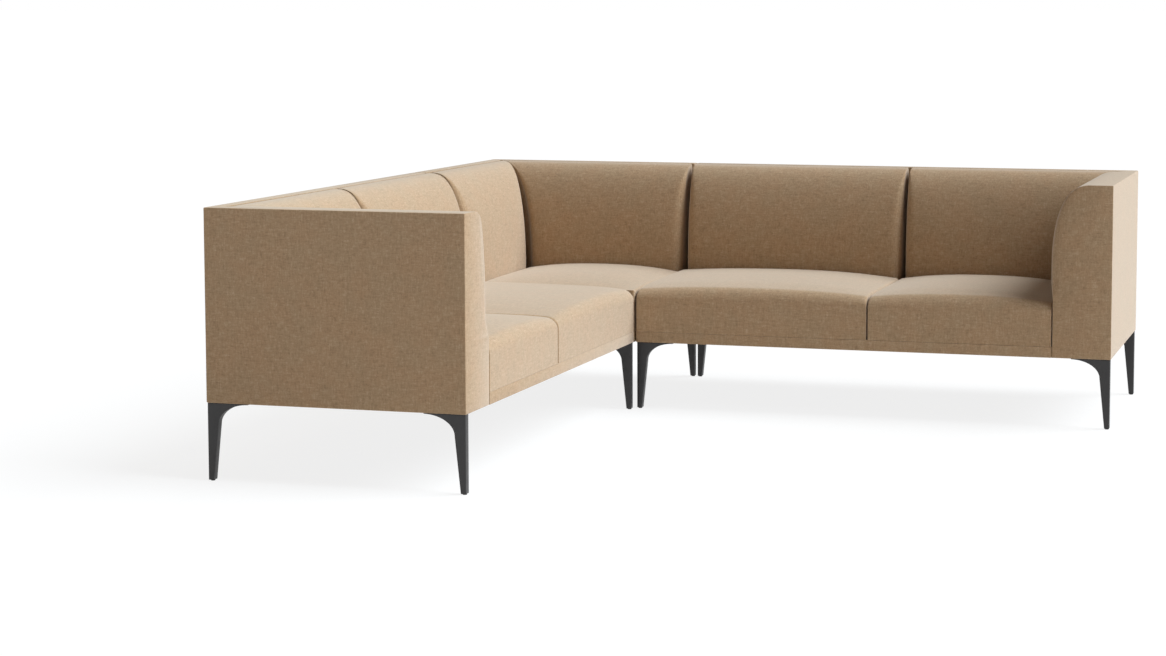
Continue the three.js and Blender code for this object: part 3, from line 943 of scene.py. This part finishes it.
def arm_cover():
    """The right arm's cover. Its length runs along -Y from the mitre, and its outer face is at +X."""
    sizes = shape()
    piece = shouldered_block(
        "right_arm_cover",
        (0, -ARM_THICKNESS, UNDERSIDE),
        (1, 0, SOFA_TOP),
        sizes.arm_flat_top,
        sizes.arm_drop,
        sizes.arm_power,
        ARM_SHOULDER_STEPS,
    )
    cut_across(piece, Vector((1, 0, 0)), length_cuts(
        UNIT_DEPTH, end_places(sizes.arm_front_round, first=ARM_FIRST_ANGLE), ARM_LENGTH_SPACING))
    cut_across(piece, Vector((0, 0, 1)), [
        *between(UNDERSIDE, sizes.seat_edge_height, ARM_SIDE_SPACING),
        sizes.seat_edge_height,
        *between(sizes.seat_edge_height, sizes.arm_swell_height, ARM_SWELL_SPACING),
        sizes.arm_swell_height,
    ])

    def lay(place):
        across, height = -place.y, place.z
        first = across + ARM_MITRE_GAP
        along = along_from_share(place.x, first, UNIT_DEPTH)
        facing, roundness = shoulder_facing(
            across, height, sizes.arm_flat_top, ARM_THICKNESS, sizes.arm_drop, sizes.arm_power)
        swollen = arm_swell_share(height)
        push = 0.0
        if roundness > 0:
            radius = sizes.arm_front_round * swollen * facing.x ** END_ROUND_POWER
            push -= drawn_in(radius, UNIT_DEPTH - along)
        if across > ARM_THICKNESS - HAIR:
            push -= (ARM_THICKNESS - sizes.arm_seat_thickness) * (1 - swollen)
        across += facing.x * push
        return Vector((2 * HALF_WIDTH - across, -along, height + facing.y * push))

    move_vertices(piece, lay)
    turn_outwards(piece)
    round_edges(piece, sizes.crisp_edge, degrees=50)
    to_sofa(piece)
    smooth_by_angle(piece)
    return piece


class SOFA_OT_arms(bpy.types.Operator):
    """Arms: flat outside, a flat narrow top and a full inner shoulder, mitred into the backs"""

    bl_idname = "sofa.arms"
    bl_label = "Arms"

    def execute(self, context):
        right = arm_cover()
        left = mirrored(right, "left_arm_cover")
        upholster(right, "right_unit_arm")
        upholster(left, "left_unit_arm")
        return {"FINISHED"}


# Back shells

def shell_cover(name, node, start, end):
    """One back shell's cover in the right wing's frame. start and end give its ends at a depth."""
    piece = block(name, (0, -SHELL_THICKNESS, UNDERSIDE), (1, 0, SOFA_TOP))
    move_vertices(piece, lambda place: Vector((
        start(-place.y) + (end(-place.y) - start(-place.y)) * place.x, place.y, place.z)))
    round_edges(piece, shape().crisp_edge)
    to_sofa(piece)
    smooth_by_angle(piece)
    upholster(piece, node)
    return piece


class SOFA_OT_back_shells(bpy.types.Operator):
    """Back shells: flat covered panels with sewn edges, mitred at the arms and the rear corner"""

    bl_idname = "sofa.back_shells"
    bl_label = "Back shells"

    def execute(self, context):
        unit_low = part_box("right_unit_back_shell")[0].x + HALF_WIDTH
        corner_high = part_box("corner_unit_back_shell_right")[1].x + HALF_WIDTH
        unit = shell_cover(
            "right_back_cover", "right_unit_back_shell",
            lambda depth: unit_low, lambda depth: 2 * HALF_WIDTH - depth - ARM_MITRE_GAP)
        corner = shell_cover(
            "corner_back_cover_right", "corner_unit_back_shell_right",
            lambda depth: depth + MITRE_GAP, lambda depth: corner_high)
        upholster(mirrored(unit, "left_back_cover"), "left_unit_back_shell")
        upholster(mirrored(corner, "corner_back_cover_left"), "corner_unit_back_shell_left")
        return {"FINISHED"}


class SOFA_OT_rail_bands(bpy.types.Operator):
    """Bands of cloth that cover the front rails under the seats"""

    bl_idname = "sofa.rail_bands"
    bl_label = "Rail bands"

    def execute(self, context):
        low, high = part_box("right_unit_front_rail_cover")
        piece = block("right_rail_band", low, high - Vector((ARM_SEAM, 0, 0)))
        round_edges(piece, BAND_EDGE, clamp=True)
        smooth_by_angle(piece)
        upholster(piece, "right_unit_front_rail_cover")
        upholster(mirrored(piece, "left_rail_band"), "left_unit_front_rail_cover")
        return {"FINISHED"}


# Legs and glides

def leg_form():
    """A leg that stands at x = 0 and flares towards +X: a tapering foot, and a curve that opens
    out under the frame."""
    low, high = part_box("right_unit_joint_front_leg")
    foot, knee, reach = 0.015, 0.031, high.x - low.x
    knee_height, tip = 0.155, 0.002
    thickness = high.y - low.y
    steps = 14
    deselect()
    bpy.ops.mesh.primitive_plane_add(size=1, location=(foot / 2, 0, low.z))
    bpy.context.active_object.scale = (foot, thickness, 1)
    piece = settled("leg")
    edit(piece, "SELECT")

    def raise_to(height, width, before_height, before_width):
        bpy.ops.mesh.extrude_region_move(
            TRANSFORM_OT_translate={"value": (0, 0, height - before_height)})
        bpy.ops.transform.resize(value=(width / before_width, 1, 1), center_override=(0, 0, height))

    raise_to(knee_height, knee, low.z, foot)
    height, width = knee_height, knee
    for step in range(1, steps + 1):
        angle = step / steps * pi / 2
        next_height = knee_height + (high.z - tip - knee_height) * sin(angle)
        next_width = reach - (reach - knee) * cos(angle)
        raise_to(next_height, next_width, height, width)
        height, width = next_height, next_width
    raise_to(high.z, width, height, width)
    leave_edit()
    turn_outwards(piece)
    round_edges(piece, LEG_EDGE, degrees=45)
    smooth_by_angle(piece, degrees=35)
    return piece


class SOFA_OT_legs(bpy.types.Operator):
    """Legs: slim painted castings that flare under the frame"""

    bl_idname = "sofa.legs"
    bl_label = "Legs"

    def execute(self, context):
        form = leg_form()
        paint = shared_material(leg_material, "black_satin_paint")
        for node in sorted(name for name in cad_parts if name.endswith("_leg")):
            low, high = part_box(node)
            glide_low, glide_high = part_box(node.replace("_leg", "_glide"))
            foot_x = (glide_low.x + glide_high.x) / 2
            flares_right = foot_x - low.x < high.x - foot_x
            select_only(form)
            bpy.ops.object.duplicate()
            piece = bpy.context.active_object
            piece.name = node + "_casting"
            turn = Matrix.Rotation(0 if flares_right else pi, 4, "Z")
            edge = low.x if flares_right else high.x
            piece.data.transform(Matrix.Translation((edge, (low.y + high.y) / 2, 0)) @ turn)
            dress(piece, node, paint)
        bpy.data.objects.remove(form)
        return {"FINISHED"}


class SOFA_OT_glides(bpy.types.Operator):
    """Glides: round nylon feet pressed into the legs"""

    bl_idname = "sofa.glides"
    bl_label = "Glides"

    def execute(self, context):
        nylon = shared_material(nylon_material, "black_nylon")
        for node in sorted(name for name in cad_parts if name.endswith("_glide")):
            low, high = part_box(node)
            middle = (low + high) / 2
            disc_height = stem_radius = 0.0025
            deselect()
            bpy.ops.mesh.primitive_cylinder_add(
                vertices=48, radius=(high.x - low.x) / 2, depth=disc_height,
                location=(middle.x, middle.y, disc_height / 2))
            piece = settled(node + "_foot")
            edit(piece)
            pick(piece, "FACE", lambda place: place.z > disc_height - HAIR)
            bpy.ops.mesh.inset(thickness=(high.x - low.x) / 2 - stem_radius)
            bpy.ops.mesh.extrude_region_move(
                TRANSFORM_OT_translate={"value": (0, 0, high.z - disc_height)})
            leave_edit()
            round_edges(piece, GLIDE_EDGE, segments=2, clamp=True)
            smooth_by_angle(piece)
            dress(piece, node, nylon)
        return {"FINISHED"}


class SOFA_OT_hidden_parts(bpy.types.Operator):
    """Boards, bottom cloths, link plates and bolts: the frame's own pieces, with their finishes"""

    bl_idname = "sofa.hidden_parts"
    bl_label = "Boards, cloths and links"

    def execute(self, context):
        finishes = {
            "board": shared_material(plywood_material, "birch_plywood"),
            "bottom_cloth": shared_material(bottom_cloth_material, "black_lining"),
            "link_": shared_material(zinc_material, "zinc_plate"),
        }
        for name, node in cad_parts.items():
            for word, material in finishes.items():
                if word in name:
                    node.data.materials.clear()
                    node.data.materials.append(material)
        return {"FINISHED"}


# Stage

def shown_white(tree):
    """1 for camera, glossy and transmission rays, which see the background as white, or 0."""
    path = tree.nodes.new("ShaderNodeLightPath")
    seen = path.outputs["Is Camera Ray"]
    for kind in ("Is Glossy Ray", "Is Transmission Ray"):
        either = tree.nodes.new("ShaderNodeMath")
        either.operation = "MAXIMUM"
        tree.links.new(seen, either.inputs[0])
        tree.links.new(path.outputs[kind], either.inputs[1])
        seen = either.outputs[0]
    return seen


def floor_material():
    """A pale floor that is shown nearly white, and keeps the sofa's shadow."""
    nodes = Nodes("floor_white")
    seen = shown_white(nodes.tree)
    nodes.shade(
        Base_Color=nodes.blend(seen, FLOOR_BOUNCE, (1, 1, 1)),
        Roughness=1.0,
        Specular_IOR_Level=0.0,
    )
    glow = nodes.add("ShaderNodeEmission", {"Color": (1, 1, 1, 1), "Strength": FLOOR_GLOW_STRENGTH})
    share = nodes.total(seen, FLOOR_GLOW, "MULTIPLY")
    mix = nodes.add("ShaderNodeMixShader", {0: share, 1: nodes.shader.outputs[0], 2: glow.outputs[0]})
    output = nodes.tree.nodes["Material Output"]
    nodes.tree.links.new(mix.outputs[0], output.inputs["Surface"])
    return nodes.material


def set_world():
    """White where it is seen or reflected, and a soft even fill for everything else."""
    world = bpy.data.worlds.new("studio")
    bpy.context.scene.world = world
    world.use_nodes = True
    tree = world.node_tree
    fill = tree.nodes["Background"]
    fill.inputs["Color"].default_value = (*FILL_COLOUR, 1)
    fill.inputs["Strength"].default_value = FILL_STRENGTH
    white = tree.nodes.new("ShaderNodeBackground")
    white.inputs["Color"].default_value = (1, 1, 1, 1)
    white.inputs["Strength"].default_value = 1.0
    mix = tree.nodes.new("ShaderNodeMixShader")
    tree.links.new(shown_white(tree), mix.inputs[0])
    tree.links.new(fill.outputs[0], mix.inputs[1])
    tree.links.new(white.outputs[0], mix.inputs[2])
    tree.links.new(mix.outputs[0], tree.nodes["World Output"].inputs["Surface"])


def add_key():
    """A large soft lamp from far away, which lights the sofa from the right and above."""
    deselect()
    bpy.ops.object.light_add(type="SUN")
    lamp = bpy.context.active_object
    lamp.name = "key_light"
    lamp.rotation_euler = Vector(KEY_TOWARDS).to_track_quat("-Z", "Y").to_euler()
    lamp.data.energy = KEY_STRENGTH
    lamp.data.angle = radians(KEY_SPREAD)
    lamp.data.color = KEY_COLOUR


def add_overhead():
    """A weak round lamp over the left wing, which is lightest at its near end."""
    deselect()
    bpy.ops.object.light_add(type="AREA", location=OVERHEAD_PLACE)
    lamp = bpy.context.active_object
    lamp.name = "overhead_light"
    lamp.data.shape = "DISK"
    lamp.data.size = OVERHEAD_SIZE
    lamp.data.energy = OVERHEAD_STRENGTH
    lamp.data.color = OVERHEAD_COLOUR


class SOFA_OT_stage(bpy.types.Operator):
    """Floor, soft light and the camera of the photograph"""

    bl_idname = "sofa.stage"
    bl_label = "Stage"

    def execute(self, context):
        deselect()
        bpy.ops.mesh.primitive_plane_add(size=FLOOR_SIZE, location=(0, 0, 0))
        floor = bpy.context.active_object
        floor.name = "studio_floor"
        floor.data.materials.append(floor_material())
        set_world()
        add_key()
        add_overhead()
        bpy.ops.object.camera_add(
            location=CAMERA_PLACE, rotation=(pi / 2 - CAMERA_TILT, 0, CAMERA_TURN))
        camera = bpy.context.active_object
        camera.name = "photo_camera"
        camera.data.sensor_width = CAMERA_SENSOR
        camera.data.lens = CAMERA_LENS
        camera.data.shift_x, camera.data.shift_y = CAMERA_SHIFT
        camera.data.clip_end = CAMERA_REACH
        context.scene.camera = camera
        context.scene.view_settings.view_transform = "Standard"
        return {"FINISHED"}


class SOFA_PT_sidebar(bpy.types.Panel):
    """Lists the steps that build the sofa"""

    bl_idname = "SOFA_PT_sidebar"
    bl_label = "Corner Sofa"
    bl_space_type = "VIEW_3D"
    bl_region_type = "UI"
    bl_category = "Sofa"

    def draw(self, context):
        for step in STEPS:
            self.layout.operator(step.bl_idname)
        for group in (context.scene.sofa_shape, context.scene.sofa_finish):
            for key in group.__annotations__:
                self.layout.prop(group, key)


STEPS = (
    SOFA_OT_stage,
    SOFA_OT_back_pads,
    SOFA_OT_seats,
    SOFA_OT_arms,
    SOFA_OT_back_shells,
    SOFA_OT_rail_bands,
    SOFA_OT_legs,
    SOFA_OT_glides,
    SOFA_OT_hidden_parts,
)
CLASSES = (SofaShape, SofaFinish, *STEPS, SOFA_PT_sidebar)


def register():
    for item in CLASSES:
        bpy.utils.register_class(item)
    bpy.types.Scene.sofa_shape = bpy.props.PointerProperty(type=SofaShape)
    bpy.types.Scene.sofa_finish = bpy.props.PointerProperty(type=SofaFinish)


def unregister():
    del bpy.types.Scene.sofa_finish
    del bpy.types.Scene.sofa_shape
    for item in reversed(CLASSES):
        bpy.utils.unregister_class(item)


def main():
    register()
    for step in STEPS:
        group, name = step.bl_idname.split(".")
        getattr(getattr(bpy.ops, group), name)()


if __name__ == "__main__":
    main()
